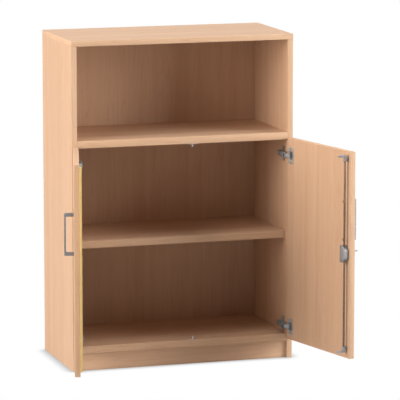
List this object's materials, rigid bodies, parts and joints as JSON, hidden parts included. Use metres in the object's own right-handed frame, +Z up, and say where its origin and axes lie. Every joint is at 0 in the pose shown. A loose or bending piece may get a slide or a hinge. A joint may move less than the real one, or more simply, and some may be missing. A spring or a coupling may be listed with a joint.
{
  "type": "office cabinet",
  "caption": "Beech office cabinet with an open compartment above, a pair of hinged doors below with bow handles, and a turning-rod lock.",
  "frame": {"origin": "on the floor, at the centre of the carcass's footprint", "axes": "+X to the right seen from the front, +Y to the back, +Z up"},
  "size_m": [1.0327, 0.7915, 1.15],
  "materials": {
    "beech_board": "satin beech-faced board",
    "strip_plastic": "satin",
    "hinge_steel": "satin nickel plate",
    "screw_steel": "zinc plate",
    "handle_metal": "satin silver-grey lacquer",
    "lock_zinc": "satin zinc casting",
    "rod_steel": "dull steel"
  },
  "bodies": {
    "carcass": {"adjustable_shelf": "beech_board", "back_panel": "beech_board", "bottom_board": "beech_board", "left_lower_hinge_arm": "hinge_steel", "left_lower_hinge_arm_pin": "hinge_steel", "left_lower_hinge_plate": "hinge_steel", "left_side": "beech_board", "left_upper_hinge_arm": "hinge_steel", "left_upper_hinge_arm_pin": "hinge_steel", "left_upper_hinge_plate": "hinge_steel", "lower_striker": "hinge_steel", "middle_shelf": "beech_board", "plinth_board": "beech_board", "right_lower_hinge_arm": "hinge_steel", "right_lower_hinge_arm_pin": "hinge_steel", "right_lower_hinge_plate": "hinge_steel", "right_side": "beech_board", "right_upper_hinge_arm": "hinge_steel", "right_upper_hinge_arm_pin": "hinge_steel", "right_upper_hinge_plate": "hinge_steel", "shelf_support_back_left": "screw_steel", "shelf_support_back_right": "screw_steel", "shelf_support_front_left": "screw_steel", "shelf_support_front_right": "screw_steel", "top_board": "beech_board", "upper_striker": "hinge_steel"},
    "left_hinge_links": {"left_lower_hinge_link": "hinge_steel", "left_upper_hinge_link": "hinge_steel"},
    "left_door": {"left_door_panel": "beech_board", "left_door_stop_strip": "strip_plastic", "left_handle": "handle_metal", "left_handle_lower_screw": "screw_steel", "left_handle_upper_screw": "screw_steel", "left_lower_hinge_cup": "hinge_steel", "left_lower_hinge_cup_pin": "hinge_steel", "left_upper_hinge_cup": "hinge_steel", "left_upper_hinge_cup_pin": "hinge_steel"},
    "right_hinge_links": {"right_lower_hinge_link": "hinge_steel", "right_upper_hinge_link": "hinge_steel"},
    "right_door": {"lock_case": "lock_zinc", "lock_cylinder": "lock_zinc", "lock_rosette": "lock_zinc", "lower_rod_guide": "lock_zinc", "right_door_panel": "beech_board", "right_handle": "handle_metal", "right_handle_lower_screw": "screw_steel", "right_handle_upper_screw": "screw_steel", "right_lower_hinge_cup": "hinge_steel", "right_lower_hinge_cup_pin": "hinge_steel", "right_upper_hinge_cup": "hinge_steel", "right_upper_hinge_cup_pin": "hinge_steel", "upper_rod_guide": "lock_zinc"},
    "lock_rods": {"upper_rod": "rod_steel", "lower_rod": "rod_steel", "upper_hook": "lock_zinc", "lower_hook": "lock_zinc", "rod_driver": "lock_zinc"},
    "lock_plug": {"lock_plug": "lock_zinc", "key": "screw_steel"}
  },
  "joints": [
    {"name": "left_hinge_links", "type": "hinge", "parent": "carcass", "child": "left_hinge_links", "pos_m": [-0.368, -0.2044, 0], "axis": [0, 0, -1], "range_deg": [-2.86, 56.64]},
    {"name": "left_door", "type": "hinge", "parent": "left_hinge_links", "child": "left_door", "pos_m": [-0.38273, -0.21565, 0], "axis": [0, 0, -1], "range_deg": [-161.39, 8.01]},
    {"name": "right_hinge_links", "type": "hinge", "parent": "carcass", "child": "right_hinge_links", "pos_m": [0.368, -0.2044, 0], "axis": [0, 0, 1], "range_deg": [-3.61, 55.89]},
    {"name": "right_door", "type": "hinge", "parent": "right_hinge_links", "child": "right_door", "pos_m": [0.38288, -0.21546, 0], "axis": [0, 0, 1], "range_deg": [-159.24, 10.16]},
    {"name": "lock_plug", "type": "hinge", "parent": "right_door", "child": "lock_plug", "pos_m": [0.48415, -0.55986, 0.44], "axis": [0.9728, 0.2317, 0], "range_deg": [-180, 0]},
    {"name": "lock_rods", "type": "hinge", "parent": "right_door", "child": "lock_rods", "pos_m": [0.45561, -0.57386, 0.44], "axis": [0, 0, 1], "range_deg": [-90, 0]}
  ],
  "couplings": [
    {"joint": "left_hinge_links", "follows": "left_door", "ratio": -0.35065},
    {"joint": "right_hinge_links", "follows": "right_door", "ratio": -0.35065},
    {"joint": "lock_plug", "follows": "lock_rods", "ratio": 2}
  ]
}
